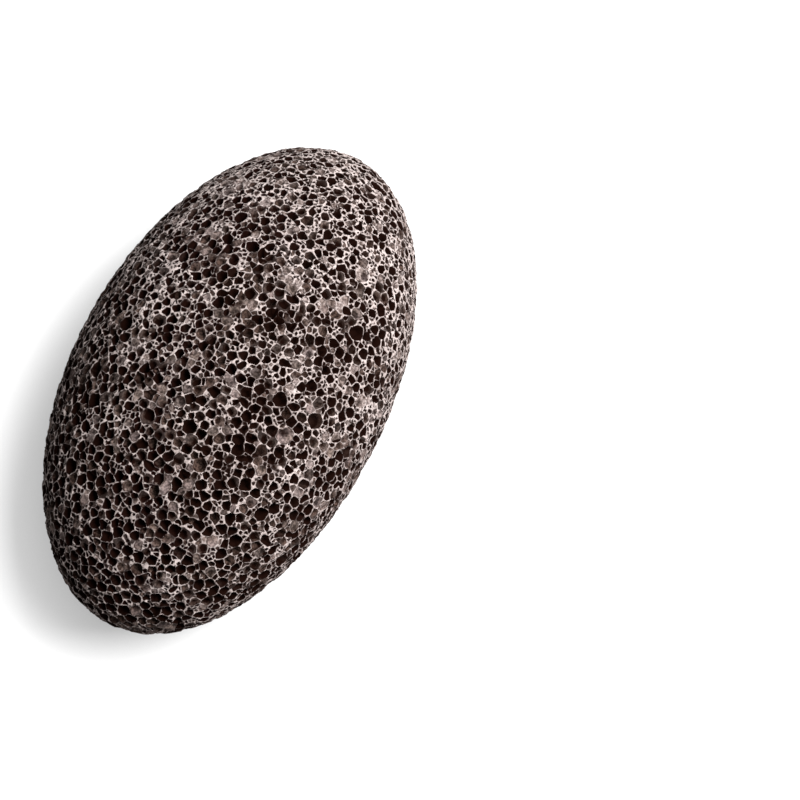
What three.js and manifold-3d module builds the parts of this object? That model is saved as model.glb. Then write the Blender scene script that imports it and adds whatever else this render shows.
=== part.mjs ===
// A pumice stone for rough skin: one piece of dark, frothy lava, ground to an oval pebble.
//
// The stone is a single solid. This file gives its outer form: an ellipsoid with three unequal
// axes, bowed a little along its length and flatter below than above, with a small worn flat
// that it rests on. The open bubbles of the froth are cut into this form as a surface finish.
//
// Units are millimetres. +X runs along the stone, +Y across it and +Z up. The origin is on the
// resting flat, under the middle of the stone.

import * as THREE from "three";
import { mergeVertices } from "three/addons/utils/BufferGeometryUtils.js";
import Module from "manifold-3d";

// Overall size
const LENGTH = 98;
const WIDTH = 58;
const HEIGHT = 41;

// Form
const BELLY_SHARE = 0.48; // share of the height that lies below the widest section
const BOW = 0.8; // sideways bow of the midline, from its middle to its ends
const FLAT_DEPTH = 0.35; // how far the underside is worn away to make the resting flat

// Mesh
const EDGE_DIVISIONS = 15; // cuts along each edge of the icosahedron that the form starts from
const MERGE_DISTANCE = 1e-4;

// Finish of the whole surface
const PUMICE = { color: 0x5f534f, roughness: 0.95, metalness: 0 };

const wasm = await Module();
wasm.setup();

// Turns a closed three.js geometry into a solid that can be cut.
function toSolid(geometry) {
  const bare = new THREE.BufferGeometry();
  bare.setAttribute("position", geometry.getAttribute("position"));
  if (geometry.index) bare.setIndex(geometry.index);
  const merged = mergeVertices(bare, MERGE_DISTANCE);
  return new wasm.Manifold(
    new wasm.Mesh({
      numProp: 3,
      vertProperties: merged.getAttribute("position").array,
      triVerts: new Uint32Array(merged.index.array),
    }),
  );
}

// Turns a cut solid back into a three.js geometry.
function toGeometry(solid) {
  const mesh = solid.getMesh();
  const geometry = new THREE.BufferGeometry();
  geometry.setAttribute("position", new THREE.BufferAttribute(mesh.vertProperties, 3));
  geometry.setIndex(new THREE.BufferAttribute(mesh.triVerts, 1));
  geometry.computeVertexNormals();
  return geometry;
}

// Moves one point of the unit sphere onto the pebble. The widest section lies at z = 0.
function shapePoint(point) {
  const fullHeight = HEIGHT + FLAT_DEPTH;
  const dome = fullHeight * (1 - BELLY_SHARE);
  const belly = fullHeight * BELLY_SHARE;
  const bow = BOW * (0.5 - point.x * point.x);
  point.set(
    (point.x * LENGTH) / 2,
    (point.y * WIDTH) / 2 + bow,
    point.z * (point.z > 0 ? dome : belly),
  );
}

// The pebble before its underside is worn, centred on its widest section.
function pebbleGeometry() {
  const geometry = new THREE.IcosahedronGeometry(1, EDGE_DIVISIONS);
  const positions = geometry.getAttribute("position");
  const point = new THREE.Vector3();
  for (let i = 0; i < positions.count; i += 1) {
    point.fromBufferAttribute(positions, i);
    shapePoint(point);
    positions.setXYZ(i, point.x, point.y, point.z);
  }
  return geometry;
}

// A block whose upper face lies where the underside is worn flat.
function wearBlock(lowestZ) {
  const block = new THREE.BoxGeometry(LENGTH, WIDTH, HEIGHT);
  block.translate(0, 0, lowestZ + FLAT_DEPTH - HEIGHT / 2);
  return block;
}

// The worn pebble, set down on its flat with its middle over the origin.
function stoneGeometry() {
  const pebble = pebbleGeometry();
  pebble.computeBoundingBox();
  const worn = toSolid(pebble).subtract(toSolid(wearBlock(pebble.boundingBox.min.z)));
  const geometry = toGeometry(worn);
  geometry.computeBoundingBox();
  const box = geometry.boundingBox;
  const middle = box.getCenter(new THREE.Vector3());
  geometry.translate(-middle.x, -middle.y, -box.min.z);
  return geometry;
}

const stone = new THREE.Mesh(stoneGeometry(), new THREE.MeshStandardMaterial(PUMICE));
stone.name = "pumice_stone";

const part = new THREE.Group();
part.add(stone);

export default part;
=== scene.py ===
"""A pumice stone for rough skin: an oval pebble of dark, frothy lava on a pale studio floor.

The script is laid out as an add-on. One operator turns the plain pebble of the frame into
open froth, and one sets up the floor, the light and the camera. Sizes are in metres, and the
scale of a noise or a pattern is in waves or cells per millimetre.
"""

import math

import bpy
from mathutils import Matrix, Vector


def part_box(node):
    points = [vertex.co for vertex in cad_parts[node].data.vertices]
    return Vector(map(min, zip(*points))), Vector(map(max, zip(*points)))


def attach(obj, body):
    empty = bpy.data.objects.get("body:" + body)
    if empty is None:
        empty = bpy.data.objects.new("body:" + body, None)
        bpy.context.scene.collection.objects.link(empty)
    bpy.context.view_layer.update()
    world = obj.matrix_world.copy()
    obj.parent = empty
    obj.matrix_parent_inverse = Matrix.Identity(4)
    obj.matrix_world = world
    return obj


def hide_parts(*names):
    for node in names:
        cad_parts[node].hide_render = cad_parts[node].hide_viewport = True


bl_info = {
    "name": "Pumice Stone",
    "version": (1, 0, 0),
    "blender": (4, 5, 0),
    "location": "3D View > Sidebar > Pumice",
    "description": "A pebble of frothy lava with open bubbles all over, and a pale studio floor",
    "category": "Object",
}

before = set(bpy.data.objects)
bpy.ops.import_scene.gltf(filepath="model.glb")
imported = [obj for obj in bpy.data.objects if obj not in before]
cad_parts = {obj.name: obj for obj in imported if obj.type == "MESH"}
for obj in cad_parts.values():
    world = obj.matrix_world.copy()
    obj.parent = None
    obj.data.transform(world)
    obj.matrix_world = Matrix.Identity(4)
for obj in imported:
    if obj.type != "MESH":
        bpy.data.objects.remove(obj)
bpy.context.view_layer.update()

STONE_NODE = "pumice_stone"
MILLIMETRE = 0.001
MERGE_DISTANCE = 0.001 * MILLIMETRE

# Noise runs from nought to one about this mean, and nearly all of it lies in this spread
NOISE_MEAN = 0.5
NOISE_SPREAD = (0.3, 0.7)

# Points thrown on each square of the spacing, before those that lie too close are dropped
POINTS_THROWN = 4.0

# Share of the frame at its middle, across and down
FRAME_MIDDLE = 0.5

# What each kind of random draw adds to the seed, and each size of bubble to its draws
RADIUS_DRAW = 1
KEPT_DRAW = 2
SIZE_STEP = 10
MOUTH_DRAW = 51
SINK_DRAW = 52
TONE_DRAW = 53
SHELF_DRAW = 54
LIFT_DRAW = 55
BROKEN_DRAW = 56
LEAN_DRAW = 57


# ---------------------------------------------------------------------------------------
# Settings
# ---------------------------------------------------------------------------------------


def length(name, description, default):
    """A setting that is a length."""
    return bpy.props.FloatProperty(
        name=name, description=description, default=default, min=0.0,
        unit="LENGTH", precision=5,
    )


def length_range(name, description, least, most):
    """A setting that is the least and the greatest of a range of lengths."""
    return bpy.props.FloatVectorProperty(
        name=name, description=description, default=(least, most), size=2, min=0.0,
        unit="LENGTH", precision=5,
    )


def span(name, description, least, most):
    """A setting that is the least and the greatest of a range of plain numbers."""
    return bpy.props.FloatVectorProperty(
        name=name, description=description, default=(least, most), size=2,
    )


def share(name, description, default):
    """A setting that is a share between nought and one."""
    return bpy.props.FloatProperty(
        name=name, description=description, default=default, min=0.0, max=1.0,
        subtype="FACTOR",
    )


def number(name, description, default):
    """A setting that is a plain number."""
    return bpy.props.FloatProperty(name=name, description=description, default=default)


def colour(name, description, default):
    """A setting that is a colour."""
    return bpy.props.FloatVectorProperty(
        name=name, description=description, default=default, size=3, min=0.0, max=1.0,
        subtype="COLOR",
    )


class FormSettings(bpy.types.PropertyGroup):
    """The mesh that the froth is cut into."""

    smoothing: bpy.props.IntProperty(
        name="Smoothing", description="Subdivisions that round off the frame's facets", default=2,
    )
    grain: length("Grain", "Spacing of the points that the pores are cut with", 0.00017)
    rim_care: number("Rim care", "How strongly the rims keep their triangles", 0.000002)
    triangles: bpy.props.IntProperty(
        name="Triangles", description="Triangles in the finished stone", default=196000,
    )


class FrothSettings(bpy.types.PropertyGroup):
    """The bubbles of the froth and the walls between them."""

    crumble_scale: number("Crumble scale", "Scale of the crumbly patches", 0.11)
    crumble_detail: number("Crumble detail", "Detail of the crumbly patches", 1.0)
    crumble_slope: number("Crumble slope", "What each millimetre along adds to that noise", 0.0045)
    crumble_onset: span("Crumble onset", "Noise where the froth is firm and crumbly", 0.40, 0.66)
    giant_spacing: length("Giant spacing", "Least distance between giant bubbles", 0.0060)
    giant_radius: length_range("Giant radius", "Radii of giant bubbles", 0.0010, 0.0014)
    giant_share: span("Giant share", "Share of giant bubbles kept, firm to crumbly", 0.45, 0.40)
    large_spacing: length("Large spacing", "Least distance between large bubbles", 0.00168)
    large_radius: length_range("Large radius", "Radii of large bubbles", 0.00068, 0.00100)
    large_share: span("Large share", "Share of large bubbles kept, firm to crumbly", 1.0, 0.90)
    medium_spacing: length("Medium spacing", "Least distance between medium bubbles", 0.0011)
    medium_radius: length_range("Medium radius", "Radii of medium bubbles", 0.00040, 0.00062)
    medium_share: span("Medium share", "Share of medium bubbles kept, firm to crumbly", 1.0, 1.0)
    small_spacing: length("Small spacing", "Least distance between small bubbles", 0.00062)
    small_radius: length_range("Small radius", "Radii of small bubbles", 0.0002, 0.00034)
    small_share: span("Small share", "Share of small bubbles kept, firm to crumbly", 1.0, 1.0)
    swell: span("Swell", "Scale of the bubbles' radii, firm to crumbly", 1.05, 0.95)
    overlap: share("Overlap", "Share of a bubble's radius that a bigger neighbour may take", 0.4)
    wall: length_range("Wall", "Thickness of the walls between pores", 0.00013, 0.00023)
    wall_scale: number("Wall scale", "Scale of the changes in their thickness", 0.35)
    firm_wall: number("Firm wall", "Scale of the walls' thickness where froth is firm", 0.82)
    crumbly_wall: number("Crumbly wall", "What crumbly froth adds to that scale", 0.40)
    broken: share("Broken", "Share of walls that have broken away", 0.03)
    unevenness: length("Unevenness", "How far the walls wander from straight", 0.00030)
    wander_scale: number("Wander scale", "Scale of the walls' wandering", 0.9)
    mouth: span("Mouth", "How wide a pore may open, in bubble radii", 1.5, 2.1)
    mouth_rounding: share("Mouth rounding", "Rounding of a mouth's corners, in radii", 0.12)
    sink: span("Sink", "How deep the middle of an open bubble lies, in radii", -0.1, 1.1)
    shelf: span("Shelf", "How high the middle of a nearly rubbed-away bubble lies, in radii", 0.8, 1.5)
    shelf_share: span("Shelf share", "Share of bubbles nearly rubbed away, firm to crumbly", 0.17, 0.27)
    lean: share("Lean", "How far a bubble's middle may lie to one side, in radii", 0.6)
    lip: length("Lip", "Least drop inside the rim of a pore", 0.00009)
    floor_rounding: share("Floor rounding", "Rounding at the foot of a pore's wall, in radii", 0.35)
    wear: length_range("Wear", "How far the walls' tops lie below the smooth form", 0.00004, 0.00036)
    wear_scale: number("Wear scale", "Scale of the wear", 0.5)
    wear_detail: number("Wear detail", "Detail of the wear", 1.0)
    ragged: length("Ragged", "How ragged the rims of the pores are", 0.00004)
    ragged_scale: number("Ragged scale", "Scale of the raggedness", 2.3)
    ragged_bias: share("Ragged bias", "How far raggedness narrows the pores, of its reach", 0.3)
    steepness: number("Steepness", "Slope of the pore walls", 4.0)
    deepest: length("Deepest", "Depth of the deepest pores", 0.0019)
    buried_depth: length_range("Buried depth", "Depths where rims end and insides start", 0.0002, 0.0008)
    buried_rim: share("Buried rim", "How readily rims lose triangles, against insides", 0.15)
    seed: bpy.props.IntProperty(
        name="Seed", description="Start of the random draws", default=11,
    )


class FinishSettings(bpy.types.PropertyGroup):
    """The colours and texture of the stone. Wall distances run outwards from a pore's edge."""

    ridge_colour: colour("Ridges", "Rubbed tops of the walls", (0.100, 0.079, 0.074))
    # The dust colour is also the painted highlight along the tops of the walls
    dust_and_highlight_colour: colour("Dust", "Palest powder on the walls", (0.285, 0.243, 0.231))
    shelf_colour: colour("Shelves", "Floors of pores nearly rubbed away", (0.049, 0.0355, 0.0335))
    earth_colour: colour("Earthy shelves", "Those floors in browner patches", (0.051, 0.037, 0.031))
    floor_colour: colour("Floors", "Floors of shallow pores", (0.024, 0.0152, 0.0122))
    # The depths' colour is partly the rock's own dark glass and partly painted shade
    depth_and_shade_colour: colour("Depths", "Insides of deep pores", (0.0041, 0.0013, 0.0008))
    # Pinholes are only dented by the bump, and their colour is partly the rock's dark glass and partly
    # painted shade inside them
    pinhole_glass_and_shade_colour: colour("Pinholes", "Insides of pinholes in the walls", (0.010, 0.0052, 0.0038))
    roughness: share("Roughness", "Roughness of the rock", 0.92)
    specular: share("Specular", "Strength of the rock's mirror reflection", 0.01)

    grain_scale: number("Grain scale", "Scale of the grains of powder", 2.4)
    grain_detail: number("Grain detail", "Detail of the grains", 3.0)
    grain_onset: span("Grain onset", "Noise where grains are absent and whole", 0.40, 0.62)
    patch_scale: number("Patch scale", "Scale of the paler patches", 0.24)
    patch_detail: number("Patch detail", "Detail of the paler patches", 1.5)
    patch_onset: span("Patch onset", "Noise where patches are absent and whole", 0.35, 0.65)
    pinhole_scale: number("Pinhole scale", "Scale of the pinholes' cells", 1.7)
    pinhole_width: span("Pinhole width", "Radii of the pinholes, in cells", 0.16, 0.62)
    pinhole_edge: share("Pinhole edge", "Softness of the pinholes' edges, in cells", 0.10)
    wobble_scale: number("Wobble scale", "Scale of the dents in the pinholes' edges", 3.5)
    wobble: number("Wobble", "Reach of those dents, in millimetres", 0.55)

    # The rim settings paint a highlight in a thin band along the tops of the walls, next to each pore's
    # edge
    rim_highlight_start: length_range("Rim start", "Wall distances where chalk sets in", 0.00001, 0.00004)
    rim_highlight_end: length_range("Rim end", "Wall distances where chalk fades out", 0.00009, 0.00018)
    grain_powder: share("Grain powder", "Powder that the grains bring", 0.42)
    patch_powder: share("Patch powder", "Powder that the patches bring", 0.22)
    rim_highlight: share("Rim powder", "Powder that the rims bring", 0.38)
    powder_growth: span("Powder growth", "Scale of the powder, firm to crumbly", 0.80, 1.14)
    wide_wall: length_range("Wide wall", "Wall distances where pinholes set in", 0.00003, 0.00008)
    crumbly_holes: share("Crumbly holes", "Pinholes in crumbly rock, wide or not", 0.85)

    pore_shade: span("Pore shade", "Scale of a pore's colour, darkest to palest", 0.4, 1.6)
    mottle: span("Mottle", "Scale of the colour inside a pore, bare to powdery", 0.5, 1.5)
    # The shelf depth and shade settings paint shade that deepens down into the shelves
    shelf_shading_depth: length_range("Shelf depth", "Depths over which shelves darken", 0.00014, 0.00040)
    shelf_painted_shade: span("Shelf shade", "Scale of a shelf's colour over those depths", 1.3, 0.55)
    rubbed_depth: length_range("Rubbed depth", "Depths where chalk fades out", 0.00012, 0.00036)
    firm_rubbed: share("Firm rubbed", "Chalk on the shelves of firm froth", 0.20)
    crumbly_rubbed: share("Crumbly rubbed", "What crumbly froth adds to it", 0.65)
    # Sunk, deep and low depth darken the pores the fuller and deeper they are: partly the rock's own
    # dark glass, partly painted shade
    sunk: span("Sunk", "Fullness of a bubble from shelf to floor", 0.42, 0.75)
    deep: span("Deep", "Fullness of a bubble from floor to dark hole", 0.75, 1.20)
    dark_shade_depth: length_range("Low depth", "Depths from floor to dark hole", 0.00026, 0.00062)
    crumbly_dark: share("Crumbly dark", "How much readier crumbly pores are to be dark", 0.08)
    dark_tone: span("Dark tone", "Tones from all dark to never dark", 0.78, 1.04)
    edge_outside: length("Edge outside", "Wall distance where a pore's colour starts", 0.00003)
    edge_inside: length("Edge inside", "Distance into a pore where its colour is full", 0.00002)
    edge_depth: length_range("Edge depth", "Depths over which the last chalk fades", 0.00008, 0.00018)
    edge_bare: share("Edge bare", "How bare of chalk the shallower of those depths is", 0.92)

    bump_scale: number("Bump scale", "Scale of the fine roughness", 6.0)
    bump_detail: number("Bump detail", "Detail of the fine roughness", 3.0)
    bump_strength: share("Bump strength", "Strength of the fine roughness", 0.7)
    bump_height: length("Bump height", "Height of the fine roughness", 0.00006)


class StageSettings(bpy.types.PropertyGroup):
    """The floor, the light and the camera."""

    floor_colour: colour("Floor", "Colour of the floor", (0.30, 0.30, 0.30))
    floor_glow: colour("Floor glow", "Light that the floor gives to the camera", (0.60, 0.60, 0.60))
    floor_roughness: share("Floor roughness", "Roughness of the floor", 0.9)
    # The glow fades under the stone as a painted contact shadow
    painted_shadow_reach: length("Contact reach", "Height under which the stone dims the glow", 0.02)
    floor_size: length("Floor size", "Length of the floor's sides", 6.0)
    sky_strength: number("Sky strength", "Light from all round", 0.36)
    sky_glow: number("Sky glow", "How bright the camera sees the sky", 0.71)
    key_power: bpy.props.FloatProperty(
        name="Key power", description="Power of the key light", default=27.5, unit="POWER",
    )
    key_size: length("Key size", "Width of the key light", 0.50)
    key_distance: length("Key distance", "Distance from the stone to the key light", 0.8)
    key_direction: bpy.props.FloatVectorProperty(
        name="Key direction", description="Towards the key light: right, up and to the camera",
        default=(0.57, 0.28, 0.74),
    )
    azimuth: bpy.props.FloatProperty(
        name="Azimuth", description="Bearing of the camera, from +X towards +Y",
        default=math.radians(206.2), subtype="ANGLE",
    )
    elevation: bpy.props.FloatProperty(
        name="Elevation", description="Height of the camera above level",
        default=math.radians(74.9), subtype="ANGLE",
    )
    lens: number("Lens", "Focal length in millimetres", 100.0)
    stone_across: number("Across", "Where the stone's middle sits, from the left", 0.288)
    stone_down: number("Down", "Where the stone's middle sits, from the top", 0.4775)
    stone_share: share("Stone share", "Length of the stone, as a share of the frame", 0.674)


# ---------------------------------------------------------------------------------------
# Node wiring
# ---------------------------------------------------------------------------------------


class Wiring:
    """Adds nodes to a tree and joins them up."""

    def __init__(self, tree):
        self.tree = tree

    def feed(self, socket, value):
        """Joins another node's output to a socket, or sets the socket's own value."""
        if isinstance(value, bpy.types.NodeSocket):
            self.tree.links.new(value, socket)
        else:
            socket.default_value = value

    def node(self, kind, inputs=None, **settings):
        """Adds a node with its settings made and its inputs fed, by name or by number."""
        node = self.tree.nodes.new(kind)
        for name, value in settings.items():
            setattr(node, name, value)
        for key, value in (inputs or {}).items():
            self.feed(node.inputs[key], value)
        return node

    def math(self, operation, *values, clamp=False):
        """A sum on plain numbers."""
        node = self.node("ShaderNodeMath", operation=operation, use_clamp=clamp)
        for socket, value in zip(node.inputs, values):
            self.feed(socket, value)
        return node.outputs[0]

    def vector(self, operation, *values):
        """A sum on vectors that gives a vector."""
        node = self.node("ShaderNodeVectorMath", operation=operation)
        for socket, value in zip(node.inputs, values):
            self.feed(socket, value)
        return node.outputs["Vector"]

    def scaled(self, vector, factor):
        """A vector made longer or shorter."""
        inputs = {"Vector": vector, "Scale": factor}
        return self.node("ShaderNodeVectorMath", inputs, operation="SCALE").outputs["Vector"]

    def distance(self, start, end):
        """The distance between two places."""
        node = self.node("ShaderNodeVectorMath", {0: start, 1: end}, operation="DISTANCE")
        return node.outputs["Value"]

    def noise(self, place, scale, detail=0.0):
        """A soft random pattern."""
        inputs = {"Vector": place, "Scale": scale, "Detail": detail}
        return self.node("ShaderNodeTexNoise", inputs)

    def wobble(self, place, scale, reach):
        """A soft random shift, with all of reach between its two ends along each axis."""
        pattern = self.noise(place, scale).outputs["Color"]
        centred = self.vector("SUBTRACT", pattern, (NOISE_MEAN, NOISE_MEAN, NOISE_MEAN))
        return self.scaled(centred, reach)

    def blend(self, value, low, high, start=0.0, end=1.0, kind="SMOOTHSTEP"):
        """Start below low, end above high and a smooth change between them."""
        inputs = {
            "Value": value, "From Min": low, "From Max": high, "To Min": start, "To Max": end,
        }
        node = self.node("ShaderNodeMapRange", inputs, interpolation_type=kind)
        return node.outputs["Result"]


class PoreWiring(Wiring):
    """Wiring for a tree that works on geometry."""

    def position(self):
        """The place of each point."""
        return self.node("GeometryNodeInputPosition").outputs["Position"]

    def named(self, name, kind="FLOAT"):
        """A value that was kept under a name."""
        node = self.node("GeometryNodeInputNamedAttribute", {"Name": name}, data_type=kind)
        return node.outputs["Attribute"]

    def keep(self, geometry, name, value, kind="FLOAT"):
        """Keeps a value on each point under a name."""
        node = self.node(
            "GeometryNodeStoreNamedAttribute",
            {"Geometry": geometry, "Name": name, "Value": value},
            data_type=kind, domain="POINT",
        )
        return node.outputs["Geometry"]

    def random(self, least, most, seed, source=None):
        """A random number for each point, or for each value of another number.

        The sockets go by number, because every kind of value has a Min and a Max.
        """
        node = self.node("FunctionNodeRandomValue", {"Seed": seed}, data_type="FLOAT")
        self.feed(node.inputs[2], least)
        self.feed(node.inputs[3], most)
        if source is not None:
            self.feed(node.inputs["ID"], source)
        return node.outputs[1]

    def random_shift(self, reach, seed, source):
        """A random vector for each value of a number, within reach along each axis.

        The sockets go by number here too.
        """
        node = self.node("FunctionNodeRandomValue", {"Seed": seed}, data_type="FLOAT_VECTOR")
        self.feed(node.inputs[0], (-reach, -reach, -reach))
        self.feed(node.inputs[1], (reach, reach, reach))
        self.feed(node.inputs["ID"], source)
        return node.outputs[0]

    def nearest(self, cloud, place):
        """The number of the point in a cloud that lies nearest to a place."""
        node = self.node(
            "GeometryNodeSampleNearest", {"Geometry": cloud, "Sample Position": place},
            domain="POINT",
        )
        return node.outputs["Index"]

    def lookup(self, cloud, value, index, kind="FLOAT"):
        """The value of one numbered point of a cloud."""
        node = self.node(
            "GeometryNodeSampleIndex", {"Geometry": cloud, "Value": value, "Index": index},
            data_type=kind, domain="POINT",
        )
        return node.outputs["Value"]

    def at_point(self, value, index, kind):
        """The value of one numbered point of the mesh being worked on."""
        node = self.node(
            "GeometryNodeFieldAtIndex", {"Value": value, "Index": index},
            data_type=kind, domain="POINT",
        )
        return node.outputs["Value"]

    def drop(self, geometry, selection):
        """Deletes the points that are selected."""
        node = self.node(
            "GeometryNodeDeleteGeometry", {"Geometry": geometry, "Selection": selection},
            domain="POINT",
        )
        return node.outputs["Geometry"]


def new_geometry_group(name):
    """An empty geometry node group that takes and gives geometry."""
    group = bpy.data.node_groups.new(name, "GeometryNodeTree")
    group.interface.new_socket(
        name="Geometry", in_out="INPUT", socket_type="NodeSocketGeometry",
    )
    group.interface.new_socket(
        name="Geometry", in_out="OUTPUT", socket_type="NodeSocketGeometry",
    )
    return group


# ---------------------------------------------------------------------------------------
# The froth
# ---------------------------------------------------------------------------------------


def scatter_bubbles(wiring, skin, froth, size, seed, bigger):
    """Scatters the bubbles of one size over the skin, clear of all the bigger ones."""
    spacing, radii, shares_kept = size
    scatter = wiring.node(
        "GeometryNodeDistributePointsOnFaces",
        {
            "Mesh": skin, "Distance Min": spacing, "Density Max": POINTS_THROWN / spacing**2,
            "Seed": seed,
        },
        distribute_method="POISSON",
    )
    bubbles = scatter.outputs["Points"]
    bubbles = wiring.keep(bubbles, "outward", scatter.outputs["Normal"], "FLOAT_VECTOR")
    crumble = wiring.named("crumble")
    swell = wiring.blend(crumble, 0.0, 1.0, *froth.swell, "LINEAR")
    radius = wiring.math("MULTIPLY", swell, wiring.random(*radii, seed + RADIUS_DRAW))
    bubbles = wiring.keep(bubbles, "radius_here", radius)
    kept = wiring.blend(crumble, 0.0, 1.0, *shares_kept, "LINEAR")
    lost = wiring.math("GREATER_THAN", wiring.random(0.0, 1.0, seed + KEPT_DRAW), kept)
    bubbles = wiring.drop(bubbles, lost)
    for cloud in bigger:
        neighbour = wiring.nearest(cloud, wiring.position())
        place = wiring.lookup(cloud, wiring.position(), neighbour, "FLOAT_VECTOR")
        reach = wiring.lookup(cloud, wiring.named("radius_here"), neighbour)
        own_share = 1.0 - froth.overlap
        room = wiring.math("MULTIPLY_ADD", wiring.named("radius_here"), own_share, reach)
        gap = wiring.distance(wiring.position(), place)
        bubbles = wiring.drop(bubbles, wiring.math("LESS_THAN", gap, room))
    return bubbles


def pack_bubbles(wiring, skin, froth):
    """Packs bubbles of four sizes over the skin, the biggest first.

    Each is then sunk by an amount that grows as its radius shrinks, so that the bubble
    nearest to a place on the skin is the one whose cell holds that place, and small
    bubbles have small cells.
    """
    sizes = (
        (froth.giant_spacing, froth.giant_radius, froth.giant_share),
        (froth.large_spacing, froth.large_radius, froth.large_share),
        (froth.medium_spacing, froth.medium_radius, froth.medium_share),
        (froth.small_spacing, froth.small_radius, froth.small_share),
    )
    clouds = []
    for rank, size in enumerate(sizes):
        seed = froth.seed + SIZE_STEP * rank
        clouds.append(scatter_bubbles(wiring, skin, froth, size, seed, clouds))
    join = wiring.node("GeometryNodeJoinGeometry")
    for cloud in clouds:
        wiring.feed(join.inputs[0], cloud)
    bubbles = wiring.keep(join.outputs[0], "mouth", wiring.position(), "FLOAT_VECTOR")
    radius = wiring.named("radius_here")
    widest = (froth.giant_radius[1] * max(froth.swell)) ** 2
    sunk = wiring.math("SUBTRACT", widest, wiring.math("MULTIPLY", radius, radius))
    sunk = wiring.math("SQRT", wiring.math("MAXIMUM", sunk, 0.0))
    outward = wiring.named("outward", "FLOAT_VECTOR")
    shift = wiring.scaled(outward, wiring.math("MULTIPLY", sunk, -1.0))
    sink = wiring.node("GeometryNodeSetPosition", {"Geometry": bubbles, "Offset": shift})
    return sink.outputs["Geometry"]


def squared_distance(wiring, start, end):
    """The square of the distance between two places."""
    gap = wiring.distance(start, end)
    return wiring.math("MULTIPLY", gap, gap)


def find_walls(wiring, skin, bubbles, froth):
    """Points along the middle of every wall, where two bubbles' cells meet."""
    edge = wiring.node("GeometryNodeInputMeshEdgeVertices")
    ends = (edge.outputs["Vertex Index 1"], edge.outputs["Vertex Index 2"])
    cells = [wiring.at_point(wiring.named("cell", "INT"), end, "INT") for end in ends]
    places = [
        wiring.at_point(wiring.named("place", "FLOAT_VECTOR"), end, "FLOAT_VECTOR")
        for end in ends
    ]
    middles = [
        wiring.lookup(bubbles, wiring.position(), cell, "FLOAT_VECTOR") for cell in cells
    ]

    # By how much each end of an edge lies nearer to its own bubble than to the other end's
    leads = [
        wiring.math(
            "SUBTRACT",
            squared_distance(wiring, places[end], middles[1 - end]),
            squared_distance(wiring, places[end], middles[end]),
        )
        for end in (0, 1)
    ]
    part = wiring.math("DIVIDE", leads[0], wiring.math("ADD", *leads), clamp=True)
    along = wiring.scaled(wiring.vector("SUBTRACT", places[1], places[0]), part)

    # Only edges between two cells cross a wall, and some walls have broken away
    change = wiring.math("ABSOLUTE", wiring.math("SUBTRACT", cells[0], cells[1]))
    between = wiring.math("GREATER_THAN", change, 0.0)
    pair = wiring.math("ADD", *cells)
    luck = wiring.random(0.0, 1.0, froth.seed + BROKEN_DRAW, pair)
    whole = wiring.math("GREATER_THAN", luck, froth.broken)
    walls = wiring.node(
        "GeometryNodeMeshToPoints",
        {
            "Mesh": skin, "Selection": wiring.math("MULTIPLY", between, whole),
            "Position": wiring.vector("ADD", places[0], along),
        },
        mode="EDGES",
    )
    return walls.outputs["Points"]


def spread_crumble(wiring, place, froth):
    """Firm, coarse froth at one end and finer, crumbly froth, in patches, towards the other."""
    along = wiring.node("ShaderNodeSeparateXYZ", {"Vector": place}).outputs["X"]
    patches = wiring.noise(place, froth.crumble_scale, froth.crumble_detail).outputs["Fac"]
    patches = wiring.math("MULTIPLY_ADD", along, froth.crumble_slope, patches)
    return wiring.blend(patches, *froth.crumble_onset)


def half_wall(wiring, place, froth):
    """Half the thickness of the walls."""
    thick = wiring.noise(place, froth.wall_scale).outputs["Fac"]
    halves = (froth.wall[0] / 2.0, froth.wall[1] / 2.0)
    half = wiring.blend(thick, *NOISE_SPREAD, *halves, "LINEAR")
    crumble = wiring.named("crumble")
    growth = wiring.math("MULTIPLY_ADD", crumble, froth.crumbly_wall, froth.firm_wall)
    return wiring.math("MULTIPLY", half, growth)


class OwnBubble:
    """The bubble whose cell a point of the skin lies in."""

    def __init__(self, wiring, bubbles):
        mouth = wiring.named("mouth", "FLOAT_VECTOR")
        self.place = wiring.named("place", "FLOAT_VECTOR")
        self.cell = wiring.named("cell", "INT")
        self.radius = wiring.lookup(bubbles, wiring.named("radius_here"), self.cell)
        self.middle = wiring.lookup(bubbles, mouth, self.cell, "FLOAT_VECTOR")


def distance_inside(wiring, own, walls, millimetres, froth):
    """How far a point lies inside the mouth of its pore, or below nought how far outside."""
    to_wall = wiring.node(
        "GeometryNodeProximity", {0: walls, "Sample Position": own.place},
        target_element="POINTS",
    ).outputs["Distance"]
    from_wall = wiring.math("SUBTRACT", to_wall, half_wall(wiring, millimetres, froth))
    from_middle = wiring.distance(own.place, own.middle)
    width = wiring.random(*froth.mouth, froth.seed + MOUTH_DRAW, own.cell)
    opening = wiring.math("MULTIPLY", own.radius, width)
    from_opening = wiring.math("SUBTRACT", opening, from_middle)
    rounding = wiring.math("MULTIPLY", own.radius, froth.mouth_rounding)
    inside = wiring.math("SMOOTH_MIN", from_opening, from_wall, rounding)
    frayed = wiring.noise(millimetres, froth.ragged_scale).outputs["Fac"]
    reach = froth.ragged / NOISE_MEAN
    narrowing = (1.0 + froth.ragged_bias) * froth.ragged
    frayed = wiring.math("MULTIPLY_ADD", frayed, reach, -narrowing)
    return wiring.math("ADD", inside, frayed)


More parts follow.
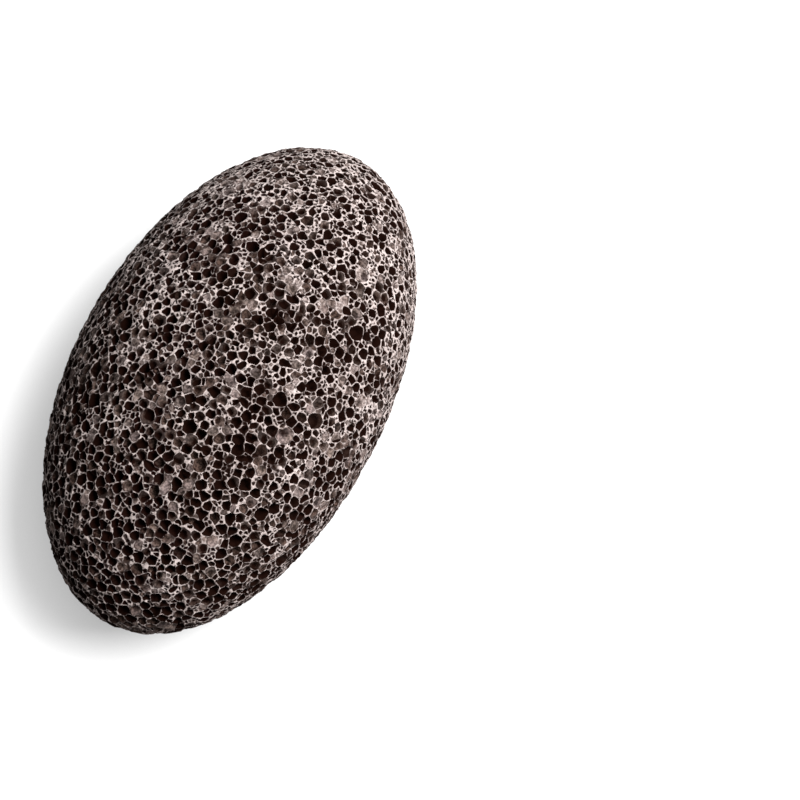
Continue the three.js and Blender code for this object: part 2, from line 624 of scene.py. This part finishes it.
def depth_and_fullness(wiring, own, froth):
    """How deep a point sinks, and how much of its bubble's ball is there, in radii.

    The floor of a pore is the bubble's own ball, whose heart may lie to one side and above
    or below the skin. Shelves are bubbles rubbed away nearly down to their floors.
    """
    least, most = froth.shelf_share
    shelves = wiring.math("MULTIPLY_ADD", wiring.named("crumble"), most - least, least)
    luck = wiring.random(0.0, 1.0, froth.seed + SHELF_DRAW, own.cell)
    on_shelf = wiring.math("LESS_THAN", luck, shelves)
    lift = wiring.random(*froth.shelf, froth.seed + LIFT_DRAW, own.cell)
    lift = wiring.math("MULTIPLY", on_shelf, lift)
    sink = wiring.random(*froth.sink, froth.seed + SINK_DRAW, own.cell)
    sink = wiring.math("MULTIPLY", own.radius, wiring.math("SUBTRACT", sink, lift))
    reach = wiring.math(
        "ADD",
        wiring.math("MULTIPLY", own.radius, own.radius),
        wiring.math("MULTIPLY", sink, sink),
    )
    lean = wiring.random_shift(froth.lean, froth.seed + LEAN_DRAW, own.cell)
    heart = wiring.vector("ADD", own.middle, wiring.scaled(lean, own.radius))
    from_heart = squared_distance(wiring, own.place, heart)
    drop = wiring.math("MAXIMUM", wiring.math("SUBTRACT", reach, from_heart), 0.0)
    drop = wiring.math("ADD", wiring.math("SQRT", drop), sink)
    drop = wiring.math("ADD", wiring.math("MAXIMUM", drop, 0.0), froth.lip)
    side = wiring.math("MULTIPLY", wiring.named("inside"), froth.steepness)
    rounding = wiring.math("MULTIPLY", own.radius, froth.floor_rounding)
    depth = wiring.math("SMOOTH_MIN", drop, side, rounding)
    depth = wiring.math("MINIMUM", wiring.math("MAXIMUM", depth, 0.0), froth.deepest)
    bottom = wiring.math("ADD", sink, wiring.math("SQRT", reach))
    return depth, wiring.math("DIVIDE", bottom, own.radius)


def open_pores_group(froth):
    """A geometry node group that cuts the open bubbles of the froth into a skin."""
    group = new_geometry_group("Open pores")
    wiring = PoreWiring(group)
    skin = wiring.node("NodeGroupInput").outputs["Geometry"]
    millimetres = wiring.scaled(wiring.position(), 1.0 / MILLIMETRE)
    skin = wiring.keep(skin, "crumble", spread_crumble(wiring, millimetres, froth))
    bubbles = pack_bubbles(wiring, skin, froth)

    # Which bubble's cell each point of the skin lies in, with walls that wander a little
    wander = wiring.wobble(millimetres, froth.wander_scale, froth.unevenness / NOISE_MEAN)
    place = wiring.vector("ADD", wiring.position(), wander)
    skin = wiring.keep(skin, "place", place, "FLOAT_VECTOR")
    cell = wiring.nearest(bubbles, wiring.named("place", "FLOAT_VECTOR"))
    skin = wiring.keep(skin, "cell", cell, "INT")

    # The shape of the pore that each point lies in
    walls = find_walls(wiring, skin, bubbles, froth)
    own = OwnBubble(wiring, bubbles)
    inside = distance_inside(wiring, own, walls, millimetres, froth)
    skin = wiring.keep(skin, "inside", inside)
    depth, fullness = depth_and_fullness(wiring, own, froth)
    skin = wiring.keep(skin, "depth", depth)
    skin = wiring.keep(skin, "fullness", fullness)
    tone = wiring.random(0.0, 1.0, froth.seed + TONE_DRAW, own.cell)
    skin = wiring.keep(skin, "tone", tone)
    buried = wiring.blend(depth, *froth.buried_depth, froth.buried_rim, 1.0)
    skin = wiring.keep(skin, "buried", buried)

    # Wear that leaves the tops of the walls uneven
    broad = wiring.noise(millimetres, froth.wear_scale, froth.wear_detail).outputs["Fac"]
    wear = wiring.blend(broad, *NOISE_SPREAD, *froth.wear)
    lowered = wiring.math("ADD", wiring.named("depth"), wear)
    normal = wiring.node("GeometryNodeInputNormal").outputs["Normal"]
    shift = wiring.scaled(normal, wiring.math("MULTIPLY", lowered, -1.0))
    cut = wiring.node("GeometryNodeSetPosition", {"Geometry": skin, "Offset": shift})
    wiring.node("NodeGroupOutput", {"Geometry": cut.outputs["Geometry"]})
    return group


# ---------------------------------------------------------------------------------------
# Materials
# ---------------------------------------------------------------------------------------


class FinishWiring(Wiring):
    """Wiring for a material."""

    def attribute(self, name):
        """A value that the mesh carries under a name."""
        node = self.node("ShaderNodeAttribute", attribute_name=name)
        return node.outputs["Fac"]

    def mix(self, factor, first, second):
        """A mix of two colours. The sockets go by number, as A and B come in every kind."""
        node = self.node("ShaderNodeMix", data_type="RGBA")
        self.feed(node.inputs[0], factor)
        self.feed(node.inputs[6], first)
        self.feed(node.inputs[7], second)
        return node.outputs[2]


def opaque(rgb):
    """A colour with its fourth number."""
    return (*rgb, 1.0)


def new_material(name):
    """A material with a plain shader, and the wiring for its tree."""
    material = bpy.data.materials.new(name)
    material.use_nodes = True
    return material, FinishWiring(material.node_tree), material.node_tree.nodes["Principled BSDF"]


def rock_patterns(wiring, finish):
    """Grains of powder, paler patches, and uneven pinholes of many sizes."""
    place = wiring.node("ShaderNodeTexCoord").outputs["Object"]
    place = wiring.scaled(place, 1.0 / MILLIMETRE)
    grains = wiring.noise(place, finish.grain_scale, finish.grain_detail).outputs["Fac"]
    grains = wiring.blend(grains, *finish.grain_onset)
    patches = wiring.noise(place, finish.patch_scale, finish.patch_detail).outputs["Fac"]
    patches = wiring.blend(patches, *finish.patch_onset)
    dented = wiring.vector(
        "ADD", place, wiring.wobble(place, finish.wobble_scale, finish.wobble)
    )
    pinholes = wiring.node(
        "ShaderNodeTexVoronoi", {"Vector": dented, "Scale": finish.pinhole_scale},
        voronoi_dimensions="3D",
    )
    luck = wiring.node("ShaderNodeSeparateColor", {"Color": pinholes.outputs["Color"]})
    width = wiring.blend(luck.outputs["Red"], 0.0, 1.0, *finish.pinhole_width, "LINEAR")
    hole = wiring.math("SUBTRACT", width, pinholes.outputs["Distance"])
    hole = wiring.blend(hole, 0.0, finish.pinhole_edge)
    rough = wiring.noise(place, finish.bump_scale, finish.bump_detail).outputs["Fac"]
    return grains, patches, hole, rough


def ridge_parts(wiring, finish, grains, patches, hole):
    """The colour of the rubbed ridges with a painted highlight along their rims, and their holes where
    they are wide or crumbly.
    """
    inside = wiring.attribute("inside")
    crumble = wiring.attribute("crumble")
    # A painted highlight in a thin band along the tops of the walls, next to each pore's edge
    near, far = finish.rim_highlight_start
    rim = wiring.blend(inside, -near, -far)
    near, far = finish.rim_highlight_end
    rim = wiring.math("MULTIPLY", rim, wiring.blend(inside, -far, -near))
    powder = wiring.math("MULTIPLY", grains, finish.grain_powder)
    powder = wiring.math("MULTIPLY_ADD", patches, finish.patch_powder, powder)
    # From here the powder carries the painted highlight of the rims as well as real powder
    powder = wiring.math("MULTIPLY_ADD", rim, finish.rim_highlight, powder)
    growth = wiring.blend(crumble, 0.0, 1.0, *finish.powder_growth, "LINEAR")
    powder = wiring.math("MULTIPLY", powder, growth)
    ridge = wiring.mix(powder, opaque(finish.ridge_colour), opaque(finish.dust_and_highlight_colour))
    # Pinholes where walls are wide or crumbly, painted dark: partly the rock's dark glass, partly
    # painted shade in holes that only the bump dents
    near, far = finish.wide_wall
    wide = wiring.blend(inside, -near, -far)
    holed = wiring.math("MULTIPLY", crumble, finish.crumbly_holes)
    ridge_hole = wiring.math("MULTIPLY", hole, wiring.math("MAXIMUM", wide, holed))
    return wiring.mix(ridge_hole, ridge, opaque(finish.pinhole_glass_and_shade_colour)), ridge_hole


def pore_parts(wiring, finish, grains, patches, ridge):
    """The colour inside the pores, each of its own shade, darker the deeper they lie: partly the rock's
    own dark glass, partly painted shade.
    """
    depth = wiring.attribute("depth")
    fullness = wiring.attribute("fullness")
    tone = wiring.attribute("tone")
    crumble = wiring.attribute("crumble")
    shade = wiring.blend(tone, 0.0, 1.0, *finish.pore_shade, "LINEAR")
    mottle = wiring.blend(grains, 0.0, 1.0, *finish.mottle, "LINEAR")
    shade = wiring.math("MULTIPLY", shade, mottle)

    # Shelves, chalky where they lie close under the surface and darker with depth as painted shade
    shelf = wiring.mix(patches, opaque(finish.earth_colour), opaque(finish.shelf_colour))
    shallow = wiring.blend(depth, *finish.shelf_shading_depth, *finish.shelf_painted_shade)
    shelf = wiring.scaled(shelf, wiring.math("MULTIPLY", shade, shallow))
    near, far = finish.rubbed_depth
    rubbed = wiring.blend(depth, far, near)
    chalk = wiring.math("MULTIPLY_ADD", crumble, finish.crumbly_rubbed, finish.firm_rubbed)
    rubbed = wiring.math("MULTIPLY", rubbed, chalk)
    shelf = wiring.mix(wiring.math("MULTIPLY", rubbed, tone), shelf, ridge)

    # Floors, and holes painted dark where they are deep or full: partly the rock's own dark glass,
    # partly painted shade
    floor = wiring.scaled(finish.floor_colour, shade)
    pit = wiring.mix(wiring.blend(fullness, *finish.sunk), shelf, floor)
    deep = wiring.blend(fullness, *finish.deep)
    dark = wiring.math("MAXIMUM", deep, wiring.blend(depth, *finish.dark_shade_depth))
    firm_tone = wiring.math("MULTIPLY_ADD", crumble, -finish.crumbly_dark, tone)
    least, most = finish.dark_tone
    dark = wiring.math("MULTIPLY", dark, wiring.blend(firm_tone, most, least))
    return wiring.mix(dark, pit, opaque(finish.depth_and_shade_colour))


def pumice_material(finish):
    """Dark, dull lava, paler where its walls are rubbed, with a painted highlight along their rims, and
    almost black in its pores, partly from its own dark glass and partly from painted shade.
    """
    material, wiring, shader = new_material("Pumice")
    grains, patches, hole, rough = rock_patterns(wiring, finish)
    ridge, ridge_hole = ridge_parts(wiring, finish, grains, patches, hole)
    pit = pore_parts(wiring, finish, grains, patches, ridge)
    inside = wiring.attribute("inside")
    depth = wiring.attribute("depth")
    pore = wiring.blend(inside, -finish.edge_outside, finish.edge_inside)
    bare = wiring.blend(depth, *finish.edge_depth, finish.edge_bare, 1.0)
    rock = wiring.mix(wiring.math("MULTIPLY", pore, bare), ridge, pit)
    height = wiring.math("SUBTRACT", rough, ridge_hole)
    bump = wiring.node(
        "ShaderNodeBump",
        {"Height": height, "Strength": finish.bump_strength, "Distance": finish.bump_height},
    )
    wiring.feed(shader.inputs["Base Color"], rock)
    wiring.feed(shader.inputs["Normal"], bump.outputs["Normal"])
    shader.inputs["Roughness"].default_value = finish.roughness
    shader.inputs["Specular IOR Level"].default_value = finish.specular
    return material


def floor_material(stage):
    """Plain paper with a glow to the eye, dimmed right under the stone as a painted contact shadow."""
    material, wiring, shader = new_material("Floor paper")
    seen = wiring.node("ShaderNodeLightPath").outputs["Is Camera Ray"]
    wiring.feed(shader.inputs["Emission Strength"], seen)
    # Ambient occlusion dims the glow near the stone into a painted contact shadow
    glow_with_painted_shadow = wiring.node("ShaderNodeAmbientOcclusion")
    glow_with_painted_shadow.inputs["Color"].default_value = opaque(stage.floor_glow)
    glow_with_painted_shadow.inputs["Distance"].default_value = stage.painted_shadow_reach
    wiring.feed(shader.inputs["Emission Color"], glow_with_painted_shadow.outputs["Color"])
    shader.inputs["Base Color"].default_value = opaque(stage.floor_colour)
    shader.inputs["Roughness"].default_value = stage.floor_roughness
    return material


# ---------------------------------------------------------------------------------------
# Operators
# ---------------------------------------------------------------------------------------


def select_only(piece):
    """Selects one object and makes it the active one."""
    bpy.ops.object.select_all(action="DESELECT")
    piece.select_set(True)
    bpy.context.view_layer.objects.active = piece


def apply_modifier(piece, name, kind, **settings):
    """Adds a modifier to the active object and applies it."""
    modifier = piece.modifiers.new(name, kind)
    for key, value in settings.items():
        setattr(modifier, key, value)
    bpy.ops.object.modifier_apply(modifier=name)


class PUMICE_OT_stone(bpy.types.Operator):
    """Turn the plain pebble of the frame into a pebble of open froth"""

    bl_idname = "pumice.stone"
    bl_label = "Pumice Stone"

    def execute(self, context):
        form = context.scene.pumice_form
        froth = context.scene.pumice_froth
        bare_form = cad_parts[STONE_NODE].data.copy()
        stone = bpy.data.objects.new("froth_stone", bare_form)
        context.scene.collection.objects.link(stone)
        select_only(stone)

        bpy.ops.object.mode_set(mode="EDIT")
        bpy.ops.mesh.select_all(action="SELECT")
        bpy.ops.mesh.remove_doubles(threshold=MERGE_DISTANCE)
        bpy.ops.object.mode_set(mode="OBJECT")

        apply_modifier(
            stone, "Round form", "SUBSURF",
            levels=form.smoothing, render_levels=form.smoothing,
        )
        apply_modifier(stone, "Even grain", "REMESH", mode="VOXEL", voxel_size=form.grain)
        bpy.ops.object.shade_smooth()
        stone.vertex_groups.new(name="buried")
        apply_modifier(stone, "Open pores", "NODES", node_group=open_pores_group(froth))
        faces = sum(len(polygon.vertices) - 2 for polygon in stone.data.polygons)
        apply_modifier(
            stone, "Fewer triangles", "DECIMATE", ratio=form.triangles / faces,
            vertex_group="buried", vertex_group_factor=form.rim_care,
        )

        stone.data.materials.clear()
        stone.data.materials.append(pumice_material(context.scene.pumice_finish))
        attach(stone, "root")
        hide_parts(STONE_NODE)
        return {"FINISHED"}


def camera_axes(stage):
    """Unit vectors from the stone to the camera, to the camera's right and up its frame."""
    towards = Vector((
        math.cos(stage.elevation) * math.cos(stage.azimuth),
        math.cos(stage.elevation) * math.sin(stage.azimuth),
        math.sin(stage.elevation),
    ))
    right = Vector((-math.sin(stage.azimuth), math.cos(stage.azimuth), 0.0))
    return towards, right, towards.cross(right)


def face(thing, place):
    """Turns a light or the camera to face a place."""
    thing.rotation_euler = (thing.location - place).to_track_quat("Z", "Y").to_euler()


def add_floor(stage):
    """A level sheet of paper under the stone."""
    bpy.ops.mesh.primitive_plane_add(size=stage.floor_size)
    floor = bpy.context.active_object
    floor.name = "floor"
    floor.data.materials.append(floor_material(stage))


def add_key(stage, centre):
    """The key light, a square soft light that faces the stone."""
    towards, right, up = camera_axes(stage)
    across, above, out = stage.key_direction
    direction = right * across + up * above + towards * out
    place = centre + direction.normalized() * stage.key_distance
    bpy.ops.object.light_add(type="AREA", location=place)
    key = bpy.context.active_object
    key.name = "key"
    key.data.size = stage.key_size
    key.data.energy = stage.key_power
    face(key, centre)


def add_camera(stage, centre, stone_length):
    """A camera that holds the stone at its place in the frame."""
    towards, right, up = camera_axes(stage)
    bpy.ops.object.camera_add()
    camera = bpy.context.active_object
    camera.data.lens = stage.lens
    seen = stone_length / stage.stone_share
    aim = centre + right * (FRAME_MIDDLE - stage.stone_across) * seen
    aim = aim + up * (stage.stone_down - FRAME_MIDDLE) * seen
    camera.location = aim + towards * seen * stage.lens / camera.data.sensor_width
    face(camera, aim)
    bpy.context.scene.camera = camera


def set_sky(stage):
    """Even white light from all round, as pale to the eye as the far floor."""
    world = bpy.data.worlds.new("Studio")
    world.use_nodes = True
    wiring = Wiring(world.node_tree)
    seen = wiring.node("ShaderNodeLightPath").outputs["Is Camera Ray"]
    strength = wiring.blend(seen, 0.0, 1.0, stage.sky_strength, stage.sky_glow, "LINEAR")
    background = world.node_tree.nodes["Background"]
    background.inputs["Color"].default_value = (1.0, 1.0, 1.0, 1.0)
    wiring.feed(background.inputs["Strength"], strength)
    bpy.context.scene.world = world


class PUMICE_OT_stage(bpy.types.Operator):
    """Add the pale floor, the soft light and the camera"""

    bl_idname = "pumice.stage"
    bl_label = "Stage"

    def execute(self, context):
        stage = context.scene.pumice_stage
        low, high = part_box(STONE_NODE)
        centre = (low + high) / 2.0
        add_floor(stage)
        add_key(stage, centre)
        set_sky(stage)
        add_camera(stage, centre, high.x - low.x)
        context.scene.view_settings.view_transform = "Standard"
        return {"FINISHED"}


class PUMICE_PT_panel(bpy.types.Panel):
    """Lists the stone's settings and operators"""

    bl_idname = "PUMICE_PT_panel"
    bl_label = "Pumice Stone"
    bl_space_type = "VIEW_3D"
    bl_region_type = "UI"
    bl_category = "Pumice"

    def draw(self, context):
        scene = context.scene
        groups = (scene.pumice_form, scene.pumice_froth, scene.pumice_finish)
        for settings in groups:
            draw_settings(self.layout, settings)
        self.layout.operator("pumice.stone")
        draw_settings(self.layout, scene.pumice_stage)
        self.layout.operator("pumice.stage")


def draw_settings(layout, settings):
    """Lists every setting of one group."""
    box = layout.box()
    for name in type(settings).__annotations__:
        box.prop(settings, name)


CLASSES = (
    FormSettings, FrothSettings, FinishSettings, StageSettings,
    PUMICE_OT_stone, PUMICE_OT_stage, PUMICE_PT_panel,
)


def register():
    for each in CLASSES:
        bpy.utils.register_class(each)
    scene = bpy.types.Scene
    scene.pumice_form = bpy.props.PointerProperty(type=FormSettings)
    scene.pumice_froth = bpy.props.PointerProperty(type=FrothSettings)
    scene.pumice_finish = bpy.props.PointerProperty(type=FinishSettings)
    scene.pumice_stage = bpy.props.PointerProperty(type=StageSettings)


def unregister():
    scene = bpy.types.Scene
    del scene.pumice_stage
    del scene.pumice_finish
    del scene.pumice_froth
    del scene.pumice_form
    for each in reversed(CLASSES):
        bpy.utils.unregister_class(each)


def main():
    """Builds the stone and its stage."""
    register()
    bpy.ops.pumice.stone()
    bpy.ops.pumice.stage()


if __name__ == "__main__":
    main()
